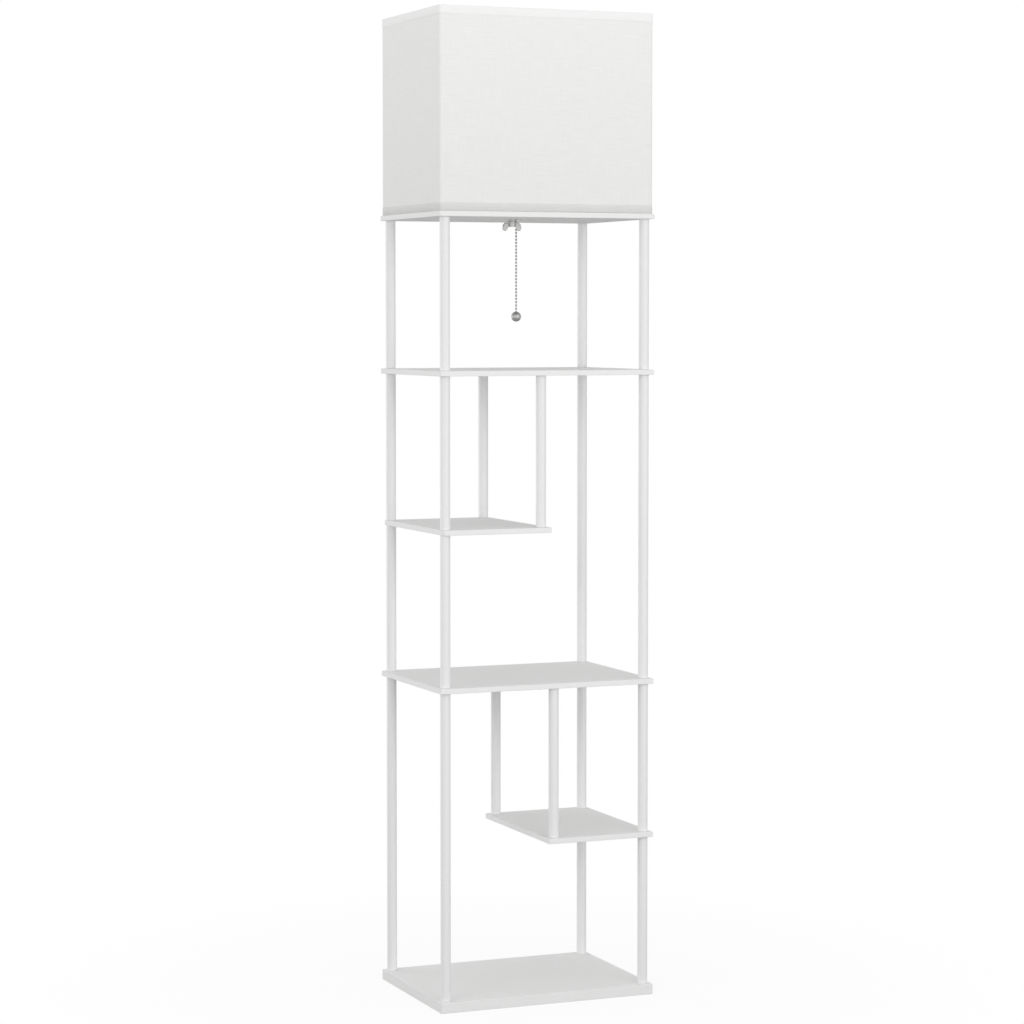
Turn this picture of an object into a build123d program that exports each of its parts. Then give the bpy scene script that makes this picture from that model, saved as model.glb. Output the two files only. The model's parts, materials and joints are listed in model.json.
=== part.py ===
from build123d import *
import math
import os

# Shelf floor lamp. Millimetres, +Z up, front towards -Y.
# The origin is the centre of the base board's underside.

# Boards
board_width = 397.0
board_depth = 293.0
base_thickness = 18.0
board_thickness = 9.0
board_corner_radius = 1.2
board_edge_chamfer = 0.5
small_shelf_width = 197.5
upper_small_shelf_setback = 6.5    # from the full shelves' left edge

# Posts
tube_length = 260.0                # clear height of every bay
tube_diameter = 17.5
tube_wall = 1.2
tube_end_chamfer = 0.8             # round each end's outside, so a joint shows as a fine line
post_inset_x = 13.5                # from a full board's side edge to the post's axis
post_inset_y = 14.7                # from a board's front or back edge
inner_post_inset = 14.3            # from a small shelf's free edge

# Fasteners of the posts
insert_length = 20.0
insert_clearance = 0.05
screw_diameter = 6.0
thread_clearance = 0.05
screw_hole_clearance = 0.5
screw_reach = 14.0                 # into the insert beyond a board
countersunk_head_diameter = 11.0
countersunk_head_height = 3.0
countersink_clearance = 0.1
base_head_recess = 0.8             # keeps the base bolts off the floor
pan_head_diameter = 10.0
pan_head_height = 3.4
drive_span = 5.0                   # cross recess in each screw head
drive_width = 1.2
drive_depth = 1.8

# Place of the lampholder: the chain hangs at the middle of the board
chain_offset = 26.0                # lampholder axis to chain
chain_bearing = 51.0               # degrees from +X, lampholder to chain
chain_x = 0.0
chain_y = 0.0

# Nipple and wing nut
nipple_diameter = 10.0
nipple_wall = 1.5
nipple_rise = 12.0                 # above the lamp board
nipple_hole_clearance = 0.4
nut_washer_diameter = 16.4
nut_washer_thickness = 1.6
nut_flange_thickness = 2.6
nut_hub_height = 11.3
nut_top_diameter = 15.0
nut_bottom_diameter = 12.8
nut_thread_clearance = 0.08
wing_span = 34.6
wing_width = 10.4
wing_height = 15.0
wing_thickness = 2.6
wing_drop = 12.6                   # underside of the board to the middle of a wing
wing_tilt = 20.0                   # the wings' tips lean outwards
wing_edge_radius = 0.9
wing_root = 0.9                    # how deep a wing's web is set in the hub

# Lampholder
cap_diameter = 36.0
cap_height = 13.0
cap_wall = 1.4
cap_neck_diameter = 16.0
holder_shell_wall = 0.9
holder_shell_diameter = 35.0
holder_shell_height = 42.0
holder_rim_diameter = 37.0
holder_rim_height = 3.0
insulator_diameter = 31.6
insulator_height = 18.0
screw_shell_diameter = 28.4
screw_shell_wall = 0.6
screw_shell_height = 26.0
contact_diameter = 8.0
contact_height = 2.6
terminal_depth = 3.4               # flats in the insulator's sides
terminal_head_diameter = 6.4
terminal_head_height = 2.2
terminal_slot_width = 0.9
terminal_slot_depth = 1.0
terminal_hole_diameter = 3.0
terminal_pocket_width = 15.8
terminal_pocket_height = 9.0
terminal_shank_length = 3.7
terminal_hole_spare = 0.8          # beyond the shank's end

# Bulb
bulb_length = 108.0
bulb_tip_diameter = 6.6
bulb_tip_height = 1.4
bulb_cap_diameter = 26.2
bulb_cap_length = 24.0
bulb_thread_pitch = 3.63
bulb_thread_depth = 0.7
bulb_diameter = 60.0
bulb_housing_length = 38.0
bulb_housing_wall = 1.6
bulb_rim_diameter = 54.0
diffuser_wall = 1.2
led_plate_thickness = 1.6
led_plate_clearance = 0.3
led_size = 3.0
led_height = 0.6
led_count = 10
led_ring_radius = 17.0

# Pull chain
bead_diameter = 4.0
bead_pitch = 5.73
chain_wire_diameter = 1.1
upper_bead_count = 7
lower_bead_count = 28
swivel_gap = 0.15
pull_ball_diameter = 17.5
pull_ball_drop = 168.4             # underside of the board to the ball's centre
pull_ball_bore_clearance = 0.15
pull_ball_bore_depth = 5.0
bushing_bore = 6.0
bushing_wall = 1.2
bushing_flange = 2.2
bushing_flange_thickness = 1.0
bushing_clearance = 0.2
guide_bore = 5.4
guide_wall = 1.3
guide_length = 17.0
guide_roof = 1.4
guide_mouth_flare = 1.2
guide_headroom = 0.4
guide_arm_diameter = 6.4
guide_arm_seat = 1.6
guide_arm_clearance = 0.2

# Cord outlet
grommet_setback = 28.5             # from the back edge
grommet_bore = 7.2
grommet_neck_diameter = 11.6
grommet_flange_diameter = 17.0
grommet_flange_thickness = 1.6
grommet_clearance = 0.1

# Shade
shade_height = 343.5
shade_inset_x = 0.8
shade_inset_y = 5.4
shade_corner_radius = 5.0
least_corner_radius = 0.1          # of the shade's inner layers
trim_height = 14.5
trim_thickness = 0.5
trim_lip = 0.6
trim_inside_height = 6.0
fabric_thickness = 0.9
liner_thickness = 0.8
ring_wire_diameter = 3.0
ring_clearance = 0.1
tab_thickness = 1.5
tab_clearance = 0.4                # round the pan heads of the lamp board's screws

# Levels: underside of each board
base_z = 0.0
lower_small_z = base_z + base_thickness + tube_length
middle_z = lower_small_z + board_thickness + tube_length
upper_small_z = middle_z + board_thickness + tube_length
upper_z = upper_small_z + board_thickness + tube_length
lamp_z = upper_z + board_thickness + tube_length
lamp_top = lamp_z + board_thickness

# Plan
left_edge = -board_width / 2
right_edge = board_width / 2
lower_small_left = right_edge - small_shelf_width
upper_small_left = left_edge + upper_small_shelf_setback
upper_small_right = upper_small_left + small_shelf_width
left_x = left_edge + post_inset_x
right_x = right_edge - post_inset_x
lower_inner_x = lower_small_left + inner_post_inset
upper_inner_x = upper_small_right - inner_post_inset
row_y = {"front": -board_depth / 2 + post_inset_y, "back": board_depth / 2 - post_inset_y}
lamp_x = chain_x - chain_offset * math.cos(math.radians(chain_bearing))
lamp_y = chain_y - chain_offset * math.sin(math.radians(chain_bearing))
grommet_y = board_depth / 2 - grommet_setback

# Shared radii and the run-out of a cut beyond its face
cut_margin = 1.0
tube_bore_radius = tube_diameter / 2 - tube_wall
screw_radius = screw_diameter / 2
screw_hole_radius = screw_radius + screw_hole_clearance
nipple_radius = nipple_diameter / 2
bushing_radius = bushing_bore / 2 + bushing_wall
shade_half_x = board_width / 2 - shade_inset_x
shade_half_y = board_depth / 2 - shade_inset_y

# Tubes: name, axis x, bottom, top
full_post = 2 * tube_length + board_thickness
post_runs = [
    ("tube_lower_left", left_x, base_thickness, base_thickness + full_post),
    ("tube_base_right", right_x, base_thickness, lower_small_z),
    ("tube_lower_right", right_x, lower_small_z + board_thickness, middle_z),
    ("tube_lower_inner", lower_inner_x, lower_small_z + board_thickness, middle_z),
    ("tube_middle_left", left_x, middle_z + board_thickness, upper_small_z),
    ("tube_upper_left", left_x, upper_small_z + board_thickness, upper_z),
    ("tube_upper_inner", upper_inner_x, upper_small_z + board_thickness, upper_z),
    ("tube_upper_right", right_x, middle_z + board_thickness, upper_z),
    ("tube_top_left", left_x, upper_z + board_thickness, lamp_z),
    ("tube_top_right", right_x, upper_z + board_thickness, lamp_z),
]

# Where a post goes on through a board, and where it ends at one
stud_places = [
    (right_x, lower_small_z),
    (left_x, middle_z),
    (right_x, middle_z),
    (left_x, upper_small_z),
    (left_x, upper_z),
    (right_x, upper_z),
]
screws_from_below = [(lower_inner_x, lower_small_z), (upper_inner_x, upper_small_z)]
screws_from_above = [(lower_inner_x, middle_z), (upper_inner_x, upper_z)]

standing = (Align.CENTER, Align.CENTER, Align.MIN)


def rod(radius, z_min, z_max, x=0.0, y=0.0):
    return Pos(x, y, z_min) * Cylinder(radius, z_max - z_min, align=standing)


def cone(bottom_radius, top_radius, z_min, z_max, x=0.0, y=0.0):
    return Pos(x, y, z_min) * Cone(bottom_radius, top_radius, z_max - z_min, align=standing)


def block(x_min, x_max, y_min, y_max, z_min, z_max):
    middle = Pos((x_min + x_max) / 2, (y_min + y_max) / 2, (z_min + z_max) / 2)
    return middle * Box(x_max - x_min, y_max - y_min, z_max - z_min)


def turned(points, x=0.0, y=0.0):
    # A solid of revolution about the vertical at x, y, from a closed outline of (radius, z)
    outline = Polyline(*[(radius, 0, z) for radius, z in points], close=True)
    return Pos(x, y, 0) * revolve(make_face(outline), Axis.Z)


def rounded_prism(half_x, half_y, radius, z_min, z_max):
    face = RectangleRounded(2 * half_x, 2 * half_y, radius)
    return extrude(Pos(0, 0, z_min) * face, z_max - z_min)


def both_rows(places):
    return [(x, y, z) for x, z in places for y in row_y.values()]


# ---- Boards

def blank_board(x_min, x_max, z_min, thickness):
    board = block(x_min, x_max, -board_depth / 2, board_depth / 2, z_min, z_min + thickness)
    board = fillet(board.edges().filter_by(Axis.Z), board_corner_radius)
    rims = board.edges().group_by(Axis.Z)[0] + board.edges().group_by(Axis.Z)[-1]
    return chamfer(rims, board_edge_chamfer)


def head_sink(x, y, face_z, inward):
    # A countersink that takes a countersunk head flush with the face; inward is +1 or -1
    wide = countersunk_head_diameter / 2 + countersink_clearance
    narrow = screw_radius + countersink_clearance
    deep_z = face_z + inward * countersunk_head_height
    if inward > 0:
        return cone(wide, narrow, face_z, deep_z, x, y)
    return cone(narrow, wide, deep_z, face_z, x, y)


def drilled_board(x_min, x_max, z_min, stud_list, below_list, above_list):
    board = blank_board(x_min, x_max, z_min, board_thickness)
    z_max = z_min + board_thickness
    for x, y, z in both_rows(stud_list + below_list + above_list):
        if z == z_min:
            board -= rod(screw_hole_radius, z_min, z_max, x, y)
    for x, y, z in both_rows(below_list):
        if z == z_min:
            board -= head_sink(x, y, z_min, 1)
    for x, y, z in both_rows(above_list):
        if z == z_min:
            board -= head_sink(x, y, z_max, -1)
    return board


def base_board():
    board = blank_board(left_edge, right_edge, base_z, base_thickness)
    for x, y, z in both_rows([(left_x, base_z), (right_x, base_z)]):
        board -= rod(screw_hole_radius, base_z, base_thickness, x, y)
        board -= rod(countersunk_head_diameter / 2 + countersink_clearance, base_z, base_head_recess, x, y)
        board -= head_sink(x, y, base_head_recess, 1)
    return board


def shelf(x_min, x_max, z_min):
    return drilled_board(x_min, x_max, z_min, stud_places, screws_from_below, screws_from_above)


def lamp_board():
    board = blank_board(left_edge, right_edge, lamp_z, board_thickness)
    for x, y, z in both_rows([(left_x, lamp_z), (right_x, lamp_z)]):
        board -= rod(screw_hole_radius, lamp_z, lamp_top, x, y)
    board -= rod(nipple_radius + nipple_hole_clearance, lamp_z, lamp_top, lamp_x, lamp_y)
    board -= rod(bushing_radius + bushing_clearance, lamp_z, lamp_top, chain_x, chain_y)
    board -= rod(grommet_neck_diameter / 2 + grommet_clearance, lamp_z, lamp_top, 0, grommet_y)
    return board


# ---- Posts and their fasteners

def tube(x, y, z_min, z_max):
    post = rod(tube_diameter / 2, z_min, z_max, x, y)
    post = chamfer(post.edges().filter_by(GeomType.CIRCLE), tube_end_chamfer)
    return post - rod(tube_bore_radius, z_min, z_max, x, y)


def insert(x, y, z_min):
    outer = rod(tube_bore_radius - insert_clearance, z_min, z_min + insert_length, x, y)
    return outer - rod(screw_radius + thread_clearance, z_min, z_min + insert_length, x, y)


def tube_inserts():
    plugs = []
    for name, x, z_min, z_max in post_runs:
        for y in row_y.values():
            plugs.append(insert(x, y, z_min))
            plugs.append(insert(x, y, z_max - insert_length))
    return Compound(children=plugs)


def shelf_studs():
    studs = []
    for x, y, z in both_rows(stud_places):
        studs.append(rod(screw_radius, z - screw_reach, z + board_thickness + screw_reach, x, y))
    return Compound(children=studs)


def cross_recess(x, y, face_z, inward):
    # The driver's recess, cut into a head from its face
    half = drive_span / 2
    thin = drive_width / 2
    z_min, z_max = sorted((face_z - inward * cut_margin, face_z + inward * drive_depth))
    return block(x - half, x + half, y - thin, y + thin, z_min, z_max) + block(
        x - thin, x + thin, y - half, y + half, z_min, z_max
    )


def countersunk_screw(x, y, face_z, inward, grip):
    # The head's flat lies in the face; the shank runs through the grip and on into the insert
    head_end = face_z + inward * countersunk_head_height
    shank_end = face_z + inward * (grip + screw_reach)
    if inward > 0:
        head = cone(countersunk_head_diameter / 2, screw_radius, face_z, head_end, x, y)
        screw = head + rod(screw_radius, head_end, shank_end, x, y)
    else:
        head = cone(screw_radius, countersunk_head_diameter / 2, head_end, face_z, x, y)
        screw = head + rod(screw_radius, shank_end, head_end, x, y)
    return screw - cross_recess(x, y, face_z, inward)


def base_bolts():
    grip = base_thickness - base_head_recess
    places = both_rows([(left_x, base_z), (right_x, base_z)])
    return Compound(children=[countersunk_screw(x, y, base_head_recess, 1, grip) for x, y, z in places])


def shelf_screws():
    screws = []
    for x, y, z in both_rows(screws_from_below):
        screws.append(countersunk_screw(x, y, z, 1, board_thickness))
    for x, y, z in both_rows(screws_from_above):
        screws.append(countersunk_screw(x, y, z + board_thickness, -1, board_thickness))
    return Compound(children=screws)


def lamp_board_screws():
    screws = []
    for x, y, z in both_rows([(left_x, lamp_z), (right_x, lamp_z)]):
        head = rod(pan_head_diameter / 2, lamp_top, lamp_top + pan_head_height, x, y)
        head = fillet(head.edges().group_by(Axis.Z)[-1], pan_head_height / 2)
        head -= cross_recess(x, y, lamp_top + pan_head_height, -1)
        screws.append(head + rod(screw_radius, lamp_z - screw_reach, lamp_top, x, y))
    return Compound(children=screws)


# ---- Nipple, wing nut and cord outlet

nut_bottom = lamp_z - nut_washer_thickness - nut_hub_height


def nipple():
    z_max = lamp_top + nipple_rise
    pipe = rod(nipple_radius, nut_bottom, z_max, lamp_x, lamp_y)
    return pipe - rod(nipple_radius - nipple_wall, nut_bottom, z_max, lamp_x, lamp_y)


def wing_nut_washer():
    z_min = lamp_z - nut_washer_thickness
    ring = rod(nut_washer_diameter / 2, z_min, lamp_z, lamp_x, lamp_y)
    return ring - rod(nipple_radius + nipple_hole_clearance, z_min, lamp_z, lamp_x, lamp_y)


def wing(side):
    reach = wing_span / 2 - wing_width / 2
    flat = Plane.XZ * Pos(side * reach, -wing_drop) * Rot(0, 0, side * wing_tilt)
    leaf = extrude(flat * Ellipse(wing_width / 2, wing_height / 2), wing_thickness / 2, both=True)
    leaf = fillet(leaf.edges().filter_by(GeomType.LINE, reverse=True), wing_edge_radius)
    root = side * (nut_bottom_diameter / 2 - wing_root)
    shoulder = -(nut_washer_thickness + nut_flange_thickness)
    web_outline = Polyline(
        (root, shoulder),
        (side * reach, -wing_drop + wing_height / 3),
        (side * reach, -wing_drop),
        (root, -wing_drop),
        close=True,
    )
    web = extrude(Plane.XZ * make_face(web_outline), wing_thickness / 2, both=True)
    return Pos(lamp_x, lamp_y, lamp_z) * (leaf + web)


def wing_nut():
    top = lamp_z - nut_washer_thickness
    flange = rod(nut_washer_diameter / 2, top - nut_flange_thickness, top, lamp_x, lamp_y)
    flange = chamfer(flange.edges().group_by(Axis.Z)[0], nut_flange_thickness / 3)
    hub = cone(nut_bottom_diameter / 2, nut_top_diameter / 2, nut_bottom, top, lamp_x, lamp_y)
    body = hub + flange + wing(1) + wing(-1)
    return body - rod(nipple_radius + nut_thread_clearance, nut_bottom, top, lamp_x, lamp_y)


def cord_grommet():
    # Pressed in from above; its neck ends flush with the board's underside
    flange = grommet_flange_diameter / 2
    neck = grommet_neck_diameter / 2
    bore = grommet_bore / 2
    outline = [
        (bore, lamp_z),
        (neck, lamp_z),
        (neck, lamp_top),
        (flange, lamp_top),
        (flange - board_edge_chamfer, lamp_top + grommet_flange_thickness),
        (bore, lamp_top + grommet_flange_thickness),
    ]
    return turned(outline, 0, grommet_y)


# ---- Lampholder

neck_top = lamp_top + nipple_rise
insulator_top = neck_top + insulator_height
contact_top = insulator_top + contact_height
guide_z = neck_top + insulator_height / 2


def lampholder_cap():
    outer = cap_diameter / 2
    inner = outer - cap_wall
    neck = cap_neck_diameter / 2
    bore = nipple_radius + thread_clearance
    rim = lamp_top + cap_height
    outline = [
        (bore, lamp_top),
        (outer - cap_wall, lamp_top),
        (outer, lamp_top + cap_wall),
        (outer, rim),
        (inner, rim),
        (inner, lamp_top + 2 * cap_wall),
        (neck, lamp_top + cap_wall),
        (neck, neck_top),
        (bore, neck_top),
    ]
    return turned(outline, lamp_x, lamp_y)


def guide_arm(radius, start, end):
    # A level rod from the lampholder's axis towards the chain
    arm = Cylinder(radius, end - start, align=standing)
    return Pos(lamp_x, lamp_y, guide_z) * Rot(0, 0, chain_bearing) * Rot(0, 90, 0) * Pos(0, 0, start) * arm


def lampholder_shell():
    z_min = lamp_top + cap_height
    z_max = z_min + holder_shell_height
    outer = holder_shell_diameter / 2
    inner = outer - holder_shell_wall
    rim = holder_rim_diameter / 2
    outline = [
        (inner, z_min),
        (outer, z_min),
        (outer, z_max - 2 * holder_rim_height),
        (rim, z_max - holder_rim_height),
        (rim, z_max),
        (inner, z_max),
    ]
    shell = turned(outline, lamp_x, lamp_y)
    window = guide_arm_diameter / 2 + guide_arm_clearance
    return shell - guide_arm(window, inner - cut_margin, rim + cut_margin)


def terminal(radius, start, end, side):
    # A short level rod at the side of the insulator, square to the chain's direction
    rod_x = Rot(0, 90, 0) * Pos(0, 0, start) * Cylinder(radius, end - start, align=standing)
    return Pos(lamp_x, lamp_y, guide_z) * Rot(0, 0, chain_bearing + side * 90) * rod_x


def lampholder_insulator():
    radius = insulator_diameter / 2
    hole_end = radius - terminal_depth - terminal_shank_length - terminal_hole_spare
    body = rod(radius, neck_top, insulator_top, lamp_x, lamp_y)
    turn = Pos(lamp_x, lamp_y, guide_z) * Rot(0, 0, chain_bearing)
    for side in (-1, 1):
        pocket = Box(terminal_pocket_width, terminal_depth * 2, terminal_pocket_height)
        body -= turn * Pos(0, side * radius, 0) * pocket
        body -= terminal(terminal_hole_diameter / 2, hole_end, radius, side)
    return body - guide_arm(guide_arm_diameter / 2 + thread_clearance, radius - guide_arm_seat, radius)


def terminal_screws():
    seat = insulator_diameter / 2 - terminal_depth
    shank_radius = terminal_hole_diameter / 2 - thread_clearance
    screws = []
    for side in (-1, 1):
        outside = seat + terminal_head_height
        head = terminal(terminal_head_diameter / 2, seat, outside, side)
        slot = Box(2 * terminal_slot_depth, terminal_head_diameter + cut_margin, terminal_slot_width)
        turn = Rot(0, 0, chain_bearing + side * 90)
        head -= Pos(lamp_x, lamp_y, guide_z) * turn * Pos(outside, 0, 0) * slot
        screws.append(head + terminal(shank_radius, seat - terminal_shank_length, seat, side))
    return Compound(children=screws)


def screw_shell():
    outer = screw_shell_diameter / 2
    inner = outer - screw_shell_wall
    hole = contact_diameter / 2 + 2 * screw_shell_wall
    outline = [
        (hole, insulator_top),
        (outer, insulator_top),
        (outer, insulator_top + screw_shell_height),
        (inner, insulator_top + screw_shell_height),
        (inner, insulator_top + screw_shell_wall),
        (hole, insulator_top + screw_shell_wall),
    ]
    return turned(outline, lamp_x, lamp_y)


def centre_contact():
    radius = contact_diameter / 2
    outline = [
        (0, insulator_top),
        (radius, insulator_top),
        (radius, insulator_top + contact_height / 3),
        (radius / 2, contact_top),
        (0, contact_top),
    ]
    return turned(outline, lamp_x, lamp_y)


# ---- Bulb

bulb_cap_bottom = contact_top + bulb_tip_height
bulb_cap_top = bulb_cap_bottom + bulb_cap_length
bulb_housing_top = bulb_cap_top + bulb_housing_length
bulb_top = contact_top + bulb_length


def bulb_tip():
    radius = bulb_tip_diameter / 2
    outline = [
        (0, contact_top),
        (radius / 2, contact_top),
        (radius, bulb_cap_bottom),
        (0, bulb_cap_bottom),
    ]
    return turned(outline, lamp_x, lamp_y)


def bulb_cap():
    # The thread's crests and roots, level with each other; a cone leads down to the tip
    crest = bulb_cap_diameter / 2
    root = crest - bulb_thread_depth
    outline = [(0, bulb_cap_bottom), (bulb_tip_diameter / 2, bulb_cap_bottom)]
    z = bulb_cap_bottom + bulb_thread_pitch
    outline.append((root, z))
    while z + bulb_thread_pitch < bulb_cap_top:
        outline.append((crest, z + bulb_thread_pitch / 2))
        outline.append((root, z + bulb_thread_pitch))
        z += bulb_thread_pitch
    outline.append((crest, bulb_cap_top))
    outline.append((0, bulb_cap_top))
    return turned(outline, lamp_x, lamp_y)


def bulb_housing():
    foot = bulb_cap_diameter / 2
    rim = bulb_rim_diameter / 2
    wall = bulb_housing_wall
    seat = bulb_housing_top - led_plate_thickness
    ledge = rim - 2 * wall
    waist_z = bulb_cap_top + bulb_housing_length / 4
    outline = [
        (0, bulb_cap_top),
        (foot, bulb_cap_top),
        (foot + wall, waist_z),
        (rim, bulb_housing_top - wall),
        (rim, bulb_housing_top),
        (rim - wall, bulb_housing_top),
        (rim - wall, seat),
        (ledge, seat),
        (foot, waist_z + wall),
        (foot - wall, bulb_cap_top + wall),
        (0, bulb_cap_top + wall),
    ]
    return turned(outline, lamp_x, lamp_y)


def led_plate():
    radius = bulb_rim_diameter / 2 - bulb_housing_wall - led_plate_clearance
    z_min = bulb_housing_top - led_plate_thickness
    plate = rod(radius, z_min, bulb_housing_top, lamp_x, lamp_y)
    for index in range(led_count):
        spin = Rot(0, 0, index * 360 / led_count)
        chip = Box(led_size, led_size, led_height, align=standing)
        plate += Pos(lamp_x, lamp_y, bulb_housing_top) * spin * Pos(led_ring_radius, 0, 0) * chip
    return plate


def dome(widest, rim_radius, z_rim, z_top):
    # Half outline of the diffuser, from its rim up over the widest place to the crown
    z_wide = z_top - widest
    step = widest - rim_radius
    drop = z_wide - z_rim
    bend = (step**2 + drop**2) / (2 * step)    # upright at the widest place
    half_turn = math.asin(drop / bend) / 2
    skirt = ThreePointArc(
        (rim_radius, 0, z_rim),
        (widest - bend * (1 - math.cos(half_turn)), 0, z_wide - bend * math.sin(half_turn)),
        (widest, 0, z_wide),
    )
    crown = ThreePointArc(
        (widest, 0, z_wide),
        (widest * math.sqrt(0.5), 0, z_wide + widest * math.sqrt(0.5)),
        (0, 0, z_top),
    )
    closing = Polyline((0, 0, z_top), (0, 0, z_rim), (rim_radius, 0, z_rim))
    return revolve(make_face(Curve() + [skirt, crown, closing]), Axis.Z)


def bulb_diffuser():
    rim = bulb_rim_diameter / 2
    widest = bulb_diameter / 2
    wall = diffuser_wall
    outer = dome(widest, rim, bulb_housing_top, bulb_top)
    inner = dome(widest - wall, rim - wall, bulb_housing_top, bulb_top - wall)
    return Pos(lamp_x, lamp_y, 0) * (outer - inner)


# ---- Pull chain

pivot_z = lamp_z                   # the chain swings from the mouth of its bushing


def beads(first, last, z_start, z_end):
    # Beads counted downwards from the pivot bead, which is number 0
    string = rod(chain_wire_diameter / 2, z_end, z_start, chain_x, chain_y)
    for index in range(first, last + 1):
        string += Pos(chain_x, chain_y, pivot_z - index * bead_pitch) * Sphere(bead_diameter / 2)
    return string


def chain_upper():
    top = pivot_z + upper_bead_count * bead_pitch
    return beads(-upper_bead_count, -1, top, pivot_z + bead_diameter / 2 + swivel_gap)


def chain_link():
    return Pos(chain_x, chain_y, pivot_z) * Sphere(bead_diameter / 2)


def chain_lower():
    foot = pivot_z - lower_bead_count * bead_pitch
    return beads(1, lower_bead_count, pivot_z - bead_diameter / 2 - swivel_gap, foot)


def pull_ball():
    centre_z = lamp_z - pull_ball_drop
    top_z = centre_z + pull_ball_diameter / 2
    ball = Pos(chain_x, chain_y, centre_z) * Sphere(pull_ball_diameter / 2)
    bore = bead_diameter / 2 + pull_ball_bore_clearance
    return ball - rod(bore, top_z - pull_ball_bore_depth, top_z, chain_x, chain_y)


def chain_bushing():
    bore = bushing_bore / 2
    flange = bushing_radius + bushing_flange
    thick = bushing_flange_thickness
    outline = [
        (bore, lamp_z - thick),
        (flange, lamp_z - thick),
        (flange, lamp_z),
        (bushing_radius, lamp_z),
        (bushing_radius, lamp_top),
        (flange, lamp_top),
        (flange, lamp_top + thick),
        (bore, lamp_top + thick),
    ]
    return turned(outline, chain_x, chain_y)


def chain_guide():
    bore = guide_bore / 2
    outer = bore + guide_wall
    crown = pivot_z + upper_bead_count * bead_pitch + bead_diameter / 2 + guide_headroom
    mouth = crown - guide_length
    outline = [
        (bore + guide_mouth_flare, mouth),
        (outer + guide_mouth_flare, mouth),
        (outer, mouth + 2 * guide_mouth_flare),
        (outer, crown + guide_roof),
        (0, crown + guide_roof),
        (0, crown),
        (bore, crown),
        (bore, mouth + guide_mouth_flare),
    ]
    bell = turned(outline, chain_x, chain_y)
    start = insulator_diameter / 2 - guide_arm_seat
    arm = guide_arm(guide_arm_diameter / 2, start, chain_offset - bore - guide_wall / 2)
    return bell + (arm - rod(outer - guide_wall / 2, mouth, crown + guide_roof, chain_x, chain_y))


# ---- Shade

shade_top = lamp_top + shade_height
liner_inset = trim_thickness + fabric_thickness
inside_inset = liner_inset + liner_thickness


def shade_wall(inset, thickness, z_min, z_max):
    # A rectangular sleeve with rounded corners, inset from the shade's outside
    outer_radius = max(shade_corner_radius - inset, least_corner_radius)
    inner_radius = max(shade_corner_radius - inset - thickness, least_corner_radius)
    outer = rounded_prism(shade_half_x - inset, shade_half_y - inset, outer_radius, z_min, z_max)
    inner_half_x = shade_half_x - inset - thickness
    inner_half_y = shade_half_y - inset - thickness
    return outer - rounded_prism(inner_half_x, inner_half_y, inner_radius, z_min, z_max)


def shade_fabric():
    return shade_wall(trim_thickness, fabric_thickness, lamp_top + trim_lip, shade_top - trim_lip)


def shade_liner():
    return shade_wall(liner_inset, liner_thickness, lamp_top + trim_lip, shade_top - trim_lip)


def shade_top_trim():
    # Folded over the upper edge: outside band, lip and a narrower inside band
    outside = shade_wall(0, trim_thickness, shade_top - trim_height, shade_top)
    lip = shade_wall(0, inside_inset + trim_thickness, shade_top - trim_lip, shade_top)
    inside = shade_wall(inside_inset, trim_thickness, shade_top - trim_inside_height, shade_top)
    return outside + lip + inside


def shade_bottom_trim():
    outside = shade_wall(0, trim_thickness, lamp_top, lamp_top + trim_height)
    return outside + shade_wall(0, inside_inset, lamp_top, lamp_top + trim_lip)


def wire_ring(z):
    inset = inside_inset + ring_clearance + ring_wire_diameter / 2
    corner = shade_corner_radius
    path = RectangleRounded(2 * (shade_half_x - inset), 2 * (shade_half_y - inset), corner)
    start = Plane(origin=(0, -(shade_half_y - inset), z), z_dir=(1, 0, 0))
    return sweep(start * Circle(ring_wire_diameter / 2), path=Pos(0, 0, z) * path.wire())


def shade_top_ring():
    return wire_ring(shade_top - trim_inside_height - ring_clearance - ring_wire_diameter / 2)


def shade_bottom_ring():
    # The lower ring carries an eye in each corner, which drops over a screw head
    ring = wire_ring(lamp_top + ring_clearance + ring_wire_diameter / 2)
    eye = pan_head_diameter / 2 + tab_clearance
    tab_radius = shade_half_y - inside_inset - ring_clearance - row_y["back"]
    for x, y, z in both_rows([(left_x, lamp_z), (right_x, lamp_z)]):
        ring += rod(tab_radius, lamp_top, lamp_top + tab_thickness, x, y)
    for x, y, z in both_rows([(left_x, lamp_z), (right_x, lamp_z)]):
        ring -= rod(eye, lamp_top - cut_margin, lamp_top + tab_thickness + ring_wire_diameter, x, y)
    return ring


# ---- The whole lamp

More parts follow.
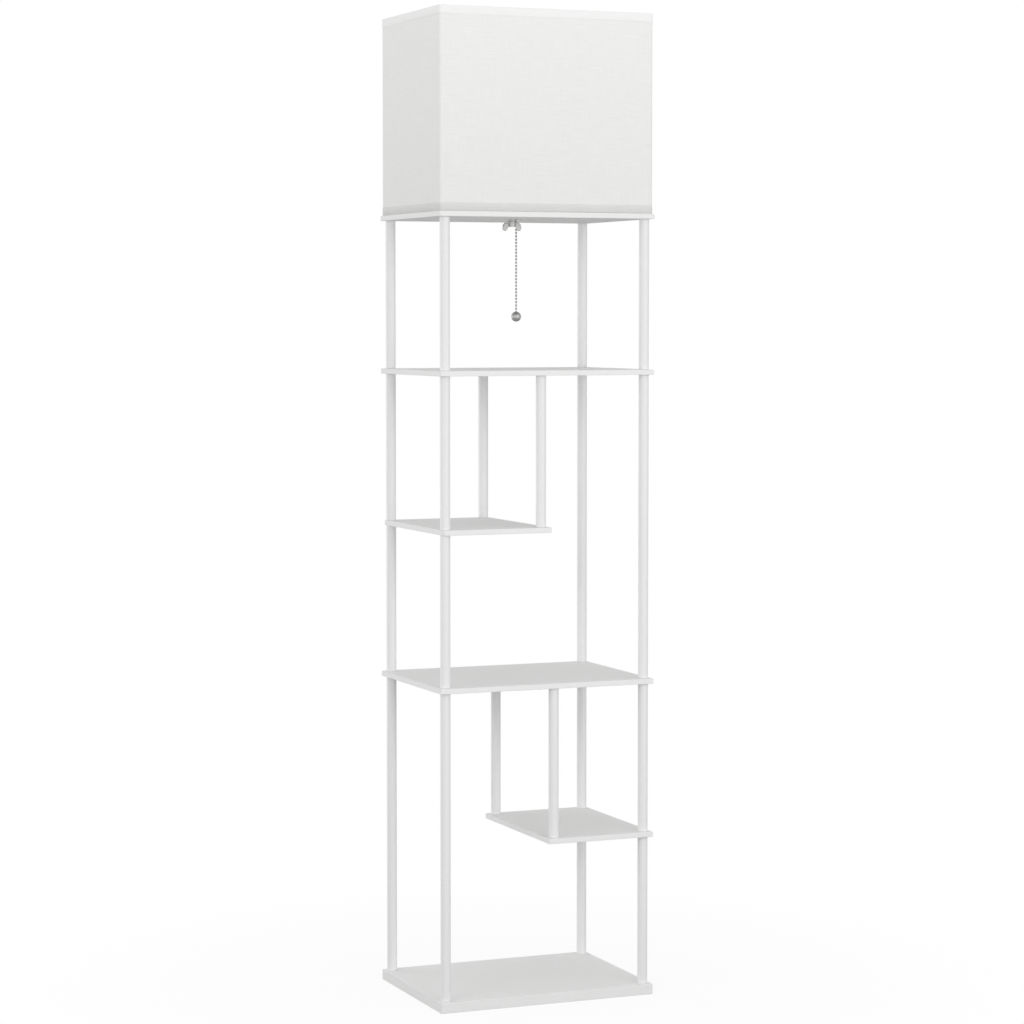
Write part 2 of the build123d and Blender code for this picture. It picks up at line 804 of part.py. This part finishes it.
nodes = {
    "base_board": base_board(),
    "lower_small_shelf": shelf(lower_small_left, right_edge, lower_small_z),
    "middle_shelf": shelf(left_edge, right_edge, middle_z),
    "upper_small_shelf": shelf(upper_small_left, upper_small_right, upper_small_z),
    "upper_shelf": shelf(left_edge, right_edge, upper_z),
    "lamp_board": lamp_board(),
    "tube_inserts": tube_inserts(),
    "shelf_studs": shelf_studs(),
    "base_bolts": base_bolts(),
    "shelf_screws": shelf_screws(),
    "lamp_board_screws": lamp_board_screws(),
    "nipple": nipple(),
    "wing_nut_washer": wing_nut_washer(),
    "wing_nut": wing_nut(),
    "cord_grommet": cord_grommet(),
    "lampholder_cap": lampholder_cap(),
    "lampholder_shell": lampholder_shell(),
    "lampholder_insulator": lampholder_insulator(),
    "terminal_screws": terminal_screws(),
    "screw_shell": screw_shell(),
    "centre_contact": centre_contact(),
    "bulb_tip": bulb_tip(),
    "bulb_cap": bulb_cap(),
    "bulb_housing": bulb_housing(),
    "led_plate": led_plate(),
    "bulb_diffuser": bulb_diffuser(),
    "chain_bushing": chain_bushing(),
    "chain_guide": chain_guide(),
    "chain_upper": chain_upper(),
    "chain_link": chain_link(),
    "chain_lower": chain_lower(),
    "pull_ball": pull_ball(),
    "shade_fabric": shade_fabric(),
    "shade_liner": shade_liner(),
    "shade_top_trim": shade_top_trim(),
    "shade_bottom_trim": shade_bottom_trim(),
    "shade_top_ring": shade_top_ring(),
    "shade_bottom_ring": shade_bottom_ring(),
}
for run_name, run_x, run_bottom, run_top in post_runs:
    for row, post_y in row_y.items():
        nodes[f"{run_name}_{row}"] = tube(run_x, post_y, run_bottom, run_top)

os.makedirs("parts", exist_ok=True)
for node_name, shape in nodes.items():
    export_step(shape, f"parts/{node_name}.step")
    print(node_name, len(shape.solids()), round(shape.volume, 1))
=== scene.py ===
import json
import math
import bpy
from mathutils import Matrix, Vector, noise


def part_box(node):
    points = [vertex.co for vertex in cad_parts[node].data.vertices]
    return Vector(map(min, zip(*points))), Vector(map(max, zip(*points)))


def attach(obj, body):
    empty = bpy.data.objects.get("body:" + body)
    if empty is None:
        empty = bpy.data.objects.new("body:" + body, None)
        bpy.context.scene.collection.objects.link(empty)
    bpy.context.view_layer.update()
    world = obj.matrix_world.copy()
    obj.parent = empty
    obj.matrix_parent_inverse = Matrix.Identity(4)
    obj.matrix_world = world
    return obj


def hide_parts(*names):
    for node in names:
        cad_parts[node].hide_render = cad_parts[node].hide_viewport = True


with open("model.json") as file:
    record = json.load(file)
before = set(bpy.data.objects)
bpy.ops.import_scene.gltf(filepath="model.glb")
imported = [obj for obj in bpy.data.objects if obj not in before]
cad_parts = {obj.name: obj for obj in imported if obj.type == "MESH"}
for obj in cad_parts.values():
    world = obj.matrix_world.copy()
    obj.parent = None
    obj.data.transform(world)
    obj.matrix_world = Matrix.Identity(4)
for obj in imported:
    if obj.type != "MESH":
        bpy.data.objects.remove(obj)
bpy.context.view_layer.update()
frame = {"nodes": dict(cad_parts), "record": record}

cadNodes = frame["nodes"]
scene = bpy.context.scene
scene.view_settings.view_transform = "Standard"


class Wire:
    # one output socket; arithmetic on it adds Math nodes to its tree
    def __init__(self, tree, socket):
        self.tree = tree
        self.socket = socket

    def maths(self, operation, first, second=None, clamp=False):
        node = self.tree.nodes.new("ShaderNodeMath")
        node.operation = operation
        node.use_clamp = clamp
        for slotNumber, value in enumerate((first, second)):
            if isinstance(value, Wire):
                self.tree.links.new(value.socket, node.inputs[slotNumber])
            elif value is not None:
                node.inputs[slotNumber].default_value = value
        return Wire(self.tree, node.outputs[0])

    def __add__(self, other):
        return self.maths("ADD", self, other)

    def __radd__(self, other):
        return self.maths("ADD", other, self)

    def __sub__(self, other):
        return self.maths("SUBTRACT", self, other)

    def __rsub__(self, other):
        return self.maths("SUBTRACT", other, self)

    def __mul__(self, other):
        return self.maths("MULTIPLY", self, other)

    def __rmul__(self, other):
        return self.maths("MULTIPLY", other, self)

    def __truediv__(self, other):
        return self.maths("DIVIDE", self, other)

    def __rtruediv__(self, other):
        return self.maths("DIVIDE", other, self)

    def __gt__(self, other):
        return self.maths("GREATER_THAN", self, other)

    def sine(self):
        return self.maths("SINE", self)

    def size(self):
        return self.maths("ABSOLUTE", self)

    def held(self):
        # kept between 0 and 1
        return self.maths("ADD", self, 0.0, clamp=True)

    def beside(self, name):
        # another output of the same node
        return Wire(self.tree, self.socket.node.outputs[name])


class Wiring:
    # one node tree; add() makes every node that isn't plain arithmetic
    def __init__(self, tree):
        tree.nodes.clear()
        self.tree = tree

    def add(self, kind, settings=None, sockets=None, out=0):
        node = self.tree.nodes.new(kind)
        for key, value in (settings or {}).items():
            setattr(node, key, value)
        for key, value in (sockets or {}).items():
            if isinstance(value, Wire):
                self.tree.links.new(value.socket, node.inputs[key])
            else:
                node.inputs[key].default_value = value
        return Wire(self.tree, node.outputs[out]) if len(node.outputs) else None

    def seenRay(self):
        # 1 for what the camera, a reflection or a look through glass meets
        path = self.add("ShaderNodeLightPath", out="Is Camera Ray")
        return (path + path.beside("Is Glossy Ray") + path.beside("Is Transmission Ray")).held()


class Finish(Wiring):
    # a material round one Principled shader
    def __init__(self, name, fixed):
        self.material = bpy.data.materials.new(name)
        self.material.use_nodes = True
        super().__init__(self.material.node_tree)
        self.shader = self.add("ShaderNodeBsdfPrincipled", sockets=fixed)
        self.add("ShaderNodeOutputMaterial", sockets={"Surface": self.shader})

    def where(self):
        # the piece's own coordinates, in metres
        return self.add("ShaderNodeTexCoord", out="Object")

    def grain(self, where, perMetre, detail, stretch=(1.0, 1.0, 1.0)):
        spread = self.add("ShaderNodeMapping", sockets={"Vector": where, "Scale": stretch})
        return self.add("ShaderNodeTexNoise", sockets={"Vector": spread, "Scale": perMetre, "Detail": detail})

    def blendColours(self, mask, low, high):
        return self.add("ShaderNodeMix", settings={"data_type": "RGBA"},
                        sockets={0: mask, 6: (*low, 1.0), 7: (*high, 1.0)}, out=2)

    def bump(self, height, depth, strength):
        return self.add("ShaderNodeBump", sockets={"Height": height, "Distance": depth, "Strength": strength})

    def feed(self, colour, roughness, normal):
        inputs = self.shader.socket.node.inputs
        for name, wire in (("Base Color", colour), ("Roughness", roughness), ("Normal", normal)):
            self.tree.links.new(wire.socket, inputs[name])
        return self.material


boardLook = {
    "white": (0.86, 0.86, 0.855), "shade": (0.835, 0.835, 0.83), "specular": 0.1,
    "stipplePerMetre": 900.0, "patchesPerMetre": 60.0, "driftPerMetre": 5.0, "driftShare": 0.7,
    "roughness": 0.7, "roughDrift": 0.10, "roughPatches": 0.06,
    "stippleShare": 0.6, "depth": 0.00006, "strength": 0.6,
}


def boardPaint():
    # rolled satin paint over fibreboard: a fine stipple, soft patches and a slow drift in gloss
    look = boardLook
    paint = Finish("boardPaint", {"Specular IOR Level": look["specular"]})
    where = paint.where()
    stipple = paint.grain(where, look["stipplePerMetre"], 1.0)
    patches = paint.grain(where, look["patchesPerMetre"], 2.0)
    drift = paint.grain(where, look["driftPerMetre"], 3.0)
    tone = (drift * look["driftShare"] + stipple * (1.0 - look["driftShare"])).held()
    colour = paint.blendColours(tone, look["shade"], look["white"])
    rough = look["roughness"] + (drift - 0.5) * look["roughDrift"] + (patches - 0.5) * look["roughPatches"]
    height = stipple * look["stippleShare"] + patches * (1.0 - look["stippleShare"])
    return paint.feed(colour, rough, paint.bump(height, look["depth"], look["strength"]))


tubeLook = {
    "white": (0.84, 0.84, 0.84), "shade": (0.81, 0.81, 0.81), "specular": 0.25,
    "peelPerMetre": 1400.0, "drawnPerMetre": 300.0, "drawnLength": 0.03,
    "roughness": 0.34, "roughPeel": 0.12, "peelShare": 0.7, "depth": 0.00004, "strength": 0.6,
}


def tubePaint():
    # powder coat: a tight orange peel over the long lines of drawn steel tube
    look = tubeLook
    coat = Finish("tubePaint", {"Specular IOR Level": look["specular"]})
    where = coat.where()
    peel = coat.grain(where, look["peelPerMetre"], 1.5)
    drawn = coat.grain(where, look["drawnPerMetre"], 2.0, stretch=(1.0, 1.0, look["drawnLength"]))
    colour = coat.blendColours((peel * 0.5 + drawn * 0.5).held(), look["shade"], look["white"])
    rough = look["roughness"] + (peel - 0.5) * look["roughPeel"]
    height = peel * look["peelShare"] + drawn * (1.0 - look["peelShare"])
    return coat.feed(colour, rough, coat.bump(height, look["depth"], look["strength"]))


linenLook = {
    "specular": 0.12, "sheen": 0.12, "sheenRoughness": 0.5,
    "thread": 0.00078, "warpWander": 0.0012, "weftWander": 0.0014, "wanderPerMetre": 14.0,
    "slubPerMetre": 30.0, "slubFiner": 23.333, "slubRise": 0.8, "slubAcross": 2.2, "slubUp": 1.5,
    "paintedLightShare": 0.56, "slubShare": 0.36, "cellShare": 0.08,
    "roughness": 0.82, "roughSlub": 0.10, "cellHeight": 0.35, "depth": 0.00022, "strength": 0.7,
}


def linen(name, low, high, zBottom, zTop):
    # plain weave with slubs, with painted light and shade: paler from zBottom to zTop, standing in for how
    # light falls; x + y runs on round every corner of the shade
    look = linenLook
    cloth = Finish(name, {"Specular IOR Level": look["specular"], "Sheen Weight": look["sheen"],
                          "Sheen Roughness": look["sheenRoughness"]})
    x = cloth.add("ShaderNodeSeparateXYZ", sockets={"Vector": cloth.where()}, out="X")
    z = x.beside("Z")
    course = x + x.beside("Y")
    flat = cloth.add("ShaderNodeCombineXYZ", sockets={"X": course, "Y": z})
    wander = cloth.grain(flat, look["wanderPerMetre"], 3.0)
    turnsIn = math.pi / look["thread"]
    warp = ((course + wander * look["warpWander"]) * turnsIn).sine()
    weft = ((z + wander * look["weftWander"]) * turnsIn).sine()
    over = (warp * weft) > 0.0
    cell = over * weft.size() + (1.0 - over) * warp.size()
    slubAcross = cloth.grain(flat, look["slubPerMetre"], 3.0, stretch=(1.0, look["slubFiner"], 1.0))
    slubUp = cloth.grain(flat, look["slubPerMetre"], 3.0, stretch=(look["slubFiner"], look["slubRise"], 1.0))
    thick = ((slubAcross - 0.5) * look["slubAcross"] + (slubUp - 0.5) * look["slubUp"] + 0.5).held()
    # painted light and shade: the tone rises from zBottom to zTop
    rise = ((z - zBottom) / (zTop - zBottom)).held()
    tone = (rise * look["paintedLightShare"] + thick * look["slubShare"] + cell * look["cellShare"]).held()
    colour = cloth.blendColours(tone, low, high)
    rough = look["roughness"] + (thick - 0.5) * look["roughSlub"]
    height = cell * look["cellHeight"] + thick * (1.0 - look["cellHeight"])
    return cloth.feed(colour, rough, cloth.bump(height, look["depth"], look["strength"]))


platedLook = {
    "cloudPerMetre": 260.0, "marksPerMetre": 780.0, "marksLength": 0.15,
    "roughCloud": 0.06, "roughMarks": 0.04, "depth": 0.00001, "strength": 0.2,
}


def plated(name, dark, light, roughness, edge=(1.0, 1.0, 1.0, 1.0)):
    # bright plate with faint polishing marks and a little clouding
    look = platedLook
    plate = Finish(name, {"Metallic": 1.0, "Specular Tint": edge})
    where = plate.where()
    cloud = plate.grain(where, look["cloudPerMetre"], 3.0)
    marks = plate.grain(where, look["marksPerMetre"], 2.0, stretch=(1.0, 1.0, look["marksLength"]))
    rough = roughness + (cloud - 0.5) * look["roughCloud"] + (marks - 0.5) * look["roughMarks"]
    normal = plate.bump(marks, look["depth"], look["strength"])
    return plate.feed(plate.blendColours(cloud, dark, light), rough, normal)


mouldedLook = {
    "specular": 0.4, "slowPerMetre": 18.0, "slowShare": 0.6,
    "roughFine": 0.10, "depth": 0.00003, "strength": 0.5,
}


def moulded(name, dark, light, roughness, finePerMetre=700.0):
    # moulded plastic or rubber: a fine spark-eroded skin and a slow change of tone
    look = mouldedLook
    skin = Finish(name, {"Specular IOR Level": look["specular"]})
    where = skin.where()
    fine = skin.grain(where, finePerMetre, 2.0)
    slow = skin.grain(where, look["slowPerMetre"], 2.0)
    tone = (slow * look["slowShare"] + fine * (1.0 - look["slowShare"])).held()
    rough = roughness + (fine - 0.5) * look["roughFine"]
    normal = skin.bump(fine, look["depth"], look["strength"])
    return skin.feed(skin.blendColours(tone, dark, light), rough, normal)


# the record's material slots and their finishes
finishes = {
    "painted_board": boardPaint(),
    "painted_tube": tubePaint(),
    "painted_screw": moulded("screwPaint", (0.78, 0.78, 0.77), (0.84, 0.84, 0.83), 0.35),
    "zinc_steel": plated("zincPlate", (0.50, 0.52, 0.55), (0.62, 0.64, 0.66), 0.32),
    "nickel": plated("nickelPlate", (0.37, 0.37, 0.365), (0.42, 0.42, 0.415), 0.46, (0.85, 0.85, 0.85, 1.0)),
    "brass": plated("brassStrip", (0.62, 0.44, 0.18), (0.74, 0.55, 0.26), 0.30),
    "bulb_metal": plated("bulbAluminium", (0.62, 0.62, 0.63), (0.74, 0.74, 0.75), 0.34),
    "black_plastic": moulded("phenolic", (0.012, 0.012, 0.013), (0.022, 0.022, 0.024), 0.38),
    "rubber": moulded("paleRubber", (0.52, 0.52, 0.51), (0.58, 0.58, 0.57), 0.62, 900.0),
    "white_nylon": moulded("whiteNylon", (0.74, 0.74, 0.72), (0.80, 0.80, 0.78), 0.40),
    "bulb_plastic": moulded("bulbPlastic", (0.80, 0.80, 0.79), (0.86, 0.86, 0.85), 0.30),
    "bulb_diffuser": moulded("milkyDiffuser", (0.86, 0.86, 0.84), (0.91, 0.91, 0.89), 0.45, 400.0),
    "shade_liner": moulded("styreneLining", (0.80, 0.80, 0.775), (0.85, 0.85, 0.83), 0.36, 300.0),
}
print("finishes made:", len(finishes))

slotOf = {row["node"]: row["material_slot"] for row in frame["record"]["subparts"]}
for nodeName, cadObject in cadNodes.items():
    finish = finishes.get(slotOf[nodeName])
    if finish:
        cadObject.data.materials.clear()
        cadObject.data.materials.append(finish)
print("finishes given to CAD nodes:", len(cadNodes))


# the steps and corners that the cloth and both bindings share, and the waves of cloth glued by hand
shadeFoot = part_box("shade_bottom_trim")[0][2]
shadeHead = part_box("shade_top_trim")[1][2]
shadeForm = {
    "sideSteps": 44, "cornerSteps": 8, "heightSteps": 40, "cornerRadius": 0.005,
    "wave": 0.00022, "waveAcross": 22, "waveUp": 18,
}


def roundedCourse(halfX, halfY, radius):
    # points and outward directions round a rectangle with rounded corners, anticlockwise
    sideSteps = shadeForm["sideSteps"]
    cornerSteps = shadeForm["cornerSteps"]
    course = []
    corners = [(1, -1, -90), (1, 1, 0), (-1, 1, 90), (-1, -1, 180)]
    for number, (signX, signY, startAngle) in enumerate(corners):
        centre = Vector((signX * (halfX - radius), signY * (halfY - radius)))
        for step in range(cornerSteps + 1):
            angle = math.radians(startAngle + 90 * step / cornerSteps)
            outward = Vector((math.cos(angle), math.sin(angle)))
            course.append((centre + outward * radius, outward))
        nextX, nextY = corners[(number + 1) % 4][:2]
        nextCentre = Vector((nextX * (halfX - radius), nextY * (halfY - radius)))
        start = centre + outward * radius
        end = nextCentre + outward * radius
        for step in range(1, sideSteps):
            course.append((start.lerp(end, step / sideSteps), outward))
    return course


def shadeCourse(inset):
    # round the shade's outside, or inset from it
    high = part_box("shade_top_trim")[1]
    return roundedCourse(high[0] - inset, high[1] - inset, shadeForm["cornerRadius"] - inset)


def handmade(spot, height):
    # the small unevenness of cloth glued by hand, outwards, in metres
    across = shadeForm["waveAcross"]
    up = shadeForm["waveUp"]
    return noise.noise(Vector((spot.x * across, spot.y * across, height * up))) * shadeForm["wave"]


def meshPiece(name, vertices, faces, material):
    mesh = bpy.data.meshes.new(name)
    mesh.from_pydata(vertices, [], faces)
    mesh.update()
    mesh.materials.append(material)
    for polygon in mesh.polygons:
        polygon.use_smooth = True
    piece = bpy.data.objects.new(name, mesh)
    scene.collection.objects.link(piece)
    return piece


def standFor(piece, node):
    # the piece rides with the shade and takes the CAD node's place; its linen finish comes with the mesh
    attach(piece, "shade")
    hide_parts(node)
    return piece


def sweepAround(name, section, course, material):
    # section is a closed loop of (outward offset, height, how much it may wave)
    vertices = []
    faces = []
    rows = len(section)
    for place, outward in course:
        for offset, height, loose in section:
            spot = place + outward * offset
            spot = spot + outward * handmade(spot, height) * loose
            vertices.append((spot.x, spot.y, height))
    for turn in range(len(course)):
        here = turn * rows
        there = (turn + 1) % len(course) * rows
        for row in range(rows):
            after = (row + 1) % rows
            faces.append((here + row, there + row, there + after, here + after))
    return meshPiece(name, vertices, faces, material)


# painted light: the cloth runs from dark at its foot to light at its head, beside its slubs and weave
clothSizes = {
    "inset": 0.0005, "thick": 0.0009, "dark": (0.80, 0.80, 0.782), "light": (0.932, 0.932, 0.922),
}
linenBody = linen("linenBody", clothSizes["dark"], clothSizes["light"], shadeFoot, shadeHead)


def makeCloth():
    # one band of linen stretched on the lining, freest at half height
    low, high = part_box("shade_fabric")
    steps = shadeForm["heightSteps"]
    parts = [step / steps for step in range(steps + 1)]
    rises = [(low[2] + (high[2] - low[2]) * part, math.sin(math.pi * part)) for part in parts]
    section = [(0.0, height, loose) for height, loose in rises]
    section += [(-clothSizes["thick"], height, loose) for height, loose in reversed(rises)]
    cloth = sweepAround("shadeCloth", section, shadeCourse(clothSizes["inset"]), linenBody)
    return standFor(cloth, "shade_fabric")


seamSizes = {
    "at": 0.062, "wide": 0.012, "rise": 0.00045, "sunk": 0.0003,
    "lead": 0.0005, "leadRise": 0.000315, "tail": 0.001, "tailRise": 0.00036,
}


def makeSeam():
    # the end of the cloth, lapped over its start on the back of the shade
    sizes = seamSizes
    low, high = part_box("shade_fabric")
    half = sizes["wide"] / 2
    rise = sizes["rise"]
    across = [
        (-half, -sizes["sunk"]), (-half, sizes["leadRise"]), (sizes["lead"] - half, rise), (0.0, rise),
        (half - sizes["tail"], sizes["tailRise"]), (half, 0.0), (half, -sizes["sunk"]),
    ]
    rows = len(across)
    steps = shadeForm["heightSteps"]
    vertices = []
    faces = [tuple(reversed(range(rows))), tuple(range(steps * rows, (steps + 1) * rows))]
    for step in range(steps + 1):
        height = low[2] + (high[2] - low[2]) * step / steps
        spot = Vector((sizes["at"], high[1]))
        out = handmade(spot, height) * math.sin(math.pi * step / steps)
        for side, lift in across:
            vertices.append((spot.x + side, spot.y + lift + out, height))
    for step in range(steps):
        here = step * rows
        above = here + rows
        for row in range(rows):
            after = (row + 1) % rows
            faces.append((here + row, here + after, above + after, above + row))
    return standFor(meshPiece("clothSeam", vertices, faces, linenBody), "shade_fabric")


topBindingSizes = {
    "high": 0.0145, "insideHigh": 0.006, "back": 0.0027, "proud": 0.0005, "edge": 0.000175, "tape": 0.0006,
    "swell": 0.0001, "swellFrom": 0.004, "fold": 0.0008, "roll": 0.0001, "turnIn": 0.0004,
    # painted light: these colours make a paler, lit copy of the body linen
    "dark": (0.93, 0.93, 0.92), "light": (0.955, 0.955, 0.95),
}


def makeTopBinding():
    # tape folded over the upper edge: outside band, rounded fold, narrow inside band
    sizes = topBindingSizes
    top = shadeHead
    foot = top - sizes["high"]
    inside = top - sizes["insideHigh"]
    proud = sizes["proud"]
    back = sizes["back"]
    behind = sizes["tape"] - back
    under = top - sizes["fold"] + sizes["roll"]
    swell = sizes["swell"]
    swellFrom = sizes["swellFrom"]
    section = [
        (-proud, foot, 0.0), (-sizes["edge"], foot, 1.0), (0.0, foot + sizes["tape"], 1.0),
        (swell, foot + swellFrom, 1.0), (swell, top - swellFrom, 1.0), (0.0, top - sizes["fold"], 0.6),
        (-sizes["tape"], top - sizes["roll"], 0.3), (-back / 2, top, 0.0),
        (behind, top - sizes["roll"], 0.0), (-back, top - sizes["fold"], 0.3),
        (-back, inside + sizes["turnIn"], 0.6), (sizes["turnIn"] - back, inside, 0.3),
        (behind, inside + sizes["turnIn"], 0.0), (behind, under, 0.0), (-proud, under, 0.0),
    ]
    finish = linen("linenTopBindingPaintedLight", sizes["dark"], sizes["light"], shadeFoot, shadeHead)
    return standFor(sweepAround("topBinding", section, shadeCourse(0.0), finish), "shade_top_trim")


footBindingSizes = {
    "high": 0.0145, "back": 0.0022, "proud": 0.0005, "edge": 0.000175, "tape": 0.0006,
    "swell": 0.0001, "swellFrom": 0.004, "rollIn": 0.00018,
    "fold": [(-0.0012, 0.0), (-0.0007, 0.0002), (-0.00035, 0.0008), (-0.0001, 0.0014), (0.0, 0.0021)],
    # painted shade: dark and light make a shaded copy of the linen, darkest where it meets the board
    "dark": (0.60, 0.60, 0.59), "light": (0.80, 0.80, 0.79),
}


def makeFootBinding():
    # tape folded under the lower edge; its round fold rests on the board. Its colour is painted shade: a
    # darker copy of the linen, darker still towards the board
    sizes = footBindingSizes
    foot = shadeFoot
    top = foot + sizes["high"]
    proud = sizes["proud"]
    back = sizes["back"]
    swell = sizes["swell"]
    swellFrom = sizes["swellFrom"]
    section = [(-back, foot + sizes["rollIn"], 0.0)]
    section += [(offset, foot + height, 0.0) for offset, height in sizes["fold"]]
    section += [
        (swell, foot + swellFrom, 1.0), (swell, top - swellFrom, 1.0),
        (0.0, top - sizes["tape"], 1.0), (-sizes["edge"], top, 1.0), (-proud, top, 0.0),
        (-proud, foot + sizes["tape"], 0.0), (-back, foot + sizes["tape"], 0.0),
    ]
    finish = linen("linenFootBindingPaintedShade", sizes["dark"], sizes["light"], foot, top)
    return standFor(sweepAround("footBinding", section, shadeCourse(0.0), finish), "shade_bottom_trim")


shadeCloth = makeCloth()
clothSeam = makeSeam()
topBinding = makeTopBinding()
footBinding = makeFootBinding()


studio = {
    "ambient": 0.68,
    "lamps": {
        "frontSoftbox": {"at": (0.9, -3.3, 1.3), "aim": (0, 0, 0.95), "wide": 3.4, "tall": 2.4, "watts": 44},
        "leftSoftbox": {"at": (-2.8, -2.0, 1.2), "aim": (0, 0, 1.1), "wide": 2.0, "tall": 2.0, "watts": 22},
        "backSoftbox": {"at": (-2.6, 2.4, 0.9), "aim": (0, 0, 0.9), "wide": 2.0, "tall": 1.6, "watts": 26},
    },
}


def lightWorld():
    # the world lights at the ambient level and is white where it is seen
    world = bpy.data.worlds.new("studioWorld")
    scene.world = world
    world.use_nodes = True
    sky = Wiring(world.node_tree)
    strength = studio["ambient"] + sky.seenRay() * (1.0 - studio["ambient"])
    white = sky.add("ShaderNodeBackground", sockets={"Color": (1.0, 1.0, 1.0, 1.0), "Strength": strength})
    sky.add("ShaderNodeOutputWorld", sockets={"Surface": white})


def hangLamp(name, setting):
    light = bpy.data.lights.new(name, "AREA")
    light.shape = "RECTANGLE"
    light.size = setting["wide"]
    light.size_y = setting["tall"]
    light.energy = setting["watts"]
    lamp = bpy.data.objects.new(name, light)
    lamp.location = setting["at"]
    aim = Vector(setting["aim"]) - Vector(setting["at"])
    lamp.rotation_euler = aim.to_track_quat("-Z", "Y").to_euler()
    scene.collection.objects.link(lamp)


floorLook = {
    "radius": 9.0, "edges": 96, "grey": (0.42, 0.42, 0.42, 1.0), "pale": (0.95, 0.95, 0.95, 1.0),
    "whiteShare": 0.88, "whiteFrom": 0.35, "whiteBy": 1.0,
}


def layFloor():
    # grey for the light it throws back; where it is seen pale with the lamp's shadow, pure white further out
    look = floorLook
    turns = [2 * math.pi * number / look["edges"] for number in range(look["edges"])]
    rim = [(look["radius"] * math.cos(turn), look["radius"] * math.sin(turn), 0.0) for turn in turns]
    material = bpy.data.materials.new("floorWhite")
    material.use_nodes = True
    paint = Wiring(material.node_tree)
    seen = paint.seenRay()
    spot = paint.add("ShaderNodeTexCoord", out="Object")
    away = paint.add("ShaderNodeVectorMath", {"operation": "LENGTH"}, {0: spot}, out="Value")
    fade = ((away - look["whiteFrom"]) / (look["whiteBy"] - look["whiteFrom"])).held()
    share = seen * (look["whiteShare"] + fade * (1.0 - look["whiteShare"]))
    grey = paint.add("ShaderNodeBsdfDiffuse", sockets={"Color": look["grey"]})
    pale = paint.add("ShaderNodeBsdfDiffuse", sockets={"Color": look["pale"]})
    surface = paint.add("ShaderNodeMixShader", sockets={0: seen, 1: grey, 2: pale})
    glow = paint.add("ShaderNodeEmission")
    surface = paint.add("ShaderNodeMixShader", sockets={0: share, 1: surface, 2: glow})
    paint.add("ShaderNodeOutputMaterial", sockets={"Surface": surface})
    meshPiece("studioFloor", rim, [tuple(range(look["edges"]))], material)


lightWorld()
layFloor()
for lampName, lampSetting in studio["lamps"].items():
    hangLamp(lampName, lampSetting)
print("studio lit by", len(studio["lamps"]), "soft boxes")


eye = {
    "at": (-2.0215, -4.8482, 1.1867), "yaw": 22.556, "down": 3.450,
    "lens": 105.37, "sensor": 36.0, "shift": -0.015,
}


def standCamera():
    lens = bpy.data.cameras.new("photoCamera")
    lens.lens = eye["lens"]
    lens.sensor_width = eye["sensor"]
    lens.shift_y = eye["shift"]
    camera = bpy.data.objects.new("photoCamera", lens)
    camera.location = eye["at"]
    camera.rotation_euler = (math.radians(90.0 - eye["down"]), 0.0, math.radians(-eye["yaw"]))
    scene.collection.objects.link(camera)
    scene.camera = camera


standCamera()
print("camera set")
